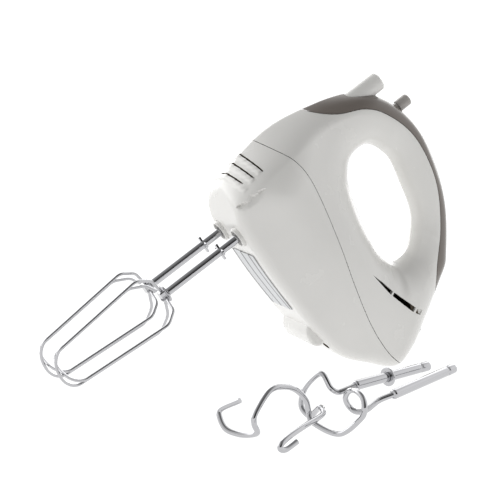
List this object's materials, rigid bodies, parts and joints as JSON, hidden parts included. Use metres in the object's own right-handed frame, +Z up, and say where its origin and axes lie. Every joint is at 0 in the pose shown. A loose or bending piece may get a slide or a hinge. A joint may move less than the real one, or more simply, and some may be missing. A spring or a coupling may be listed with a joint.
{
  "type": "hand mixer",
  "caption": "Corded hand mixer with a loop handle, wire beaters in its sockets, an eject button, a speed slider, and loose dough hooks beside it.",
  "frame": {"origin": "centre of the footprint of the whole set, on the surface that it stands on", "axes": "+Z up; the mixer leans on its heel and its beaters, with its front end towards -X and its handle over it towards +X; the dough hooks lie on its -Y side"},
  "size_m": [0.2916, 0.2532, 0.2],
  "materials": {
    "white_plastic": "glossy off-white moulded plastic",
    "warm_grey_plastic": "satin warm grey plastic",
    "silver_label": "satin silver-grey printed label",
    "black_plastic": "black moulded plastic",
    "brown_board": "brown paper-based circuit board",
    "white_nylon": "natural nylon",
    "chrome": "bright chrome plating",
    "steel": "plain steel",
    "lamination_steel": "stacked steel laminations",
    "copper": "enamelled copper winding",
    "sintered_bronze": "oil-filled sintered bronze",
    "brass": "stamped brass",
    "carbon": "pressed carbon",
    "rubber": "black rubber"
  },
  "bodies": {
    "housing": {"brush_holder_left": "brass", "brush_holder_right": "brass", "brush_spring_left": "steel", "brush_spring_right": "steel", "carbon_brush_left": "carbon", "carbon_brush_right": "carbon", "circuit_board": "brown_board", "cord_grommet": "rubber", "eject_spring": "steel", "field_coil_lower": "copper", "field_coil_upper": "copper", "front_bearing": "sintered_bronze", "gear_frame": "steel", "handle_trim": "warm_grey_plastic", "heel_foot": "white_plastic", "housing_screw_left": "steel", "housing_screw_right": "steel", "lower_housing": "white_plastic", "motor_bracket": "steel", "rating_label": "silver_label", "rear_bearing": "sintered_bronze", "socket_collar_left": "white_plastic", "socket_collar_right": "white_plastic", "speed_switch": "black_plastic", "stator_core": "lamination_steel", "suppressor_capacitor": "black_plastic", "upper_housing": "white_plastic"},
    "armature": {"armature_shaft": "steel", "armature_core": "lamination_steel", "front_end_winding": "copper", "rear_end_winding": "copper", "commutator": "copper", "cooling_fan": "black_plastic"},
    "spindle_left": {"worm_wheel_left": "white_nylon", "drive_sleeve_left": "steel"},
    "beater_left": {"beater_shaft_left": "chrome", "beater_hub_left": "chrome", "beater_loop_left_a": "chrome", "beater_loop_left_b": "chrome"},
    "spindle_right": {"worm_wheel_right": "white_nylon", "drive_sleeve_right": "steel"},
    "beater_right": {"beater_shaft_right": "chrome", "beater_hub_right": "chrome", "beater_loop_right_a": "chrome", "beater_loop_right_b": "chrome"},
    "ejector": {"eject_button": "white_plastic", "eject_fork": "steel"},
    "speed_slider": {"speed_knob": "warm_grey_plastic"},
    "hook_left": {"hook_shaft_left": "chrome", "hook_spiral_left": "chrome"},
    "hook_right": {"hook_shaft_right": "chrome", "hook_spiral_right": "chrome", "hook_collar": "chrome"}
  },
  "joints": [
    {"name": "spindle_left_spin", "type": "hinge", "parent": "housing", "child": "spindle_left", "pos_m": [0.01623, 0.0737, 0.1174], "axis": [0.8251, 0, 0.565], "continuous": true},
    {"name": "spindle_right_spin", "type": "hinge", "parent": "housing", "child": "spindle_right", "pos_m": [0.01623, 0.1027, 0.1174], "axis": [0.8251, 0, 0.565], "continuous": true},
    {"name": "armature_spin", "type": "hinge", "parent": "housing", "child": "armature", "pos_m": [0.01623, 0.0882, 0.1174], "axis": [0.565, 0, -0.8251], "continuous": true},
    {"name": "beater_left_pull", "type": "slide", "parent": "spindle_left", "child": "beater_left", "axis": [-0.8251, 0, -0.565], "range_m": [0, 0.045]},
    {"name": "beater_right_pull", "type": "slide", "parent": "spindle_right", "child": "beater_right", "axis": [-0.8251, 0, -0.565], "range_m": [0, 0.045]},
    {"name": "eject_press", "type": "slide", "parent": "housing", "child": "ejector", "axis": [-0.8251, 0, -0.565], "range_m": [0, 0.008], "stiffness_N_per_m": 600, "springref_m": -0.002, "deforming": ["eject_spring"]},
    {"name": "speed_slide", "type": "slide", "parent": "housing", "child": "speed_slider", "axis": [0.7705, 0, -0.6374], "range_m": [0, 0.012]},
    {"name": "hook_left_lift", "type": "slide", "parent": "housing", "child": "hook_left", "axis": [0, 0, 1], "range_m": [0, 0.1]},
    {"name": "hook_right_lift", "type": "slide", "parent": "hook_left", "child": "hook_right", "axis": [0, 0, 1], "range_m": [0, 0.1]}
  ],
  "couplings": [
    {"joint": "spindle_right_spin", "follows": "spindle_left_spin", "ratio": -1},
    {"joint": "armature_spin", "follows": "spindle_left_spin", "ratio": 24}
  ]
}
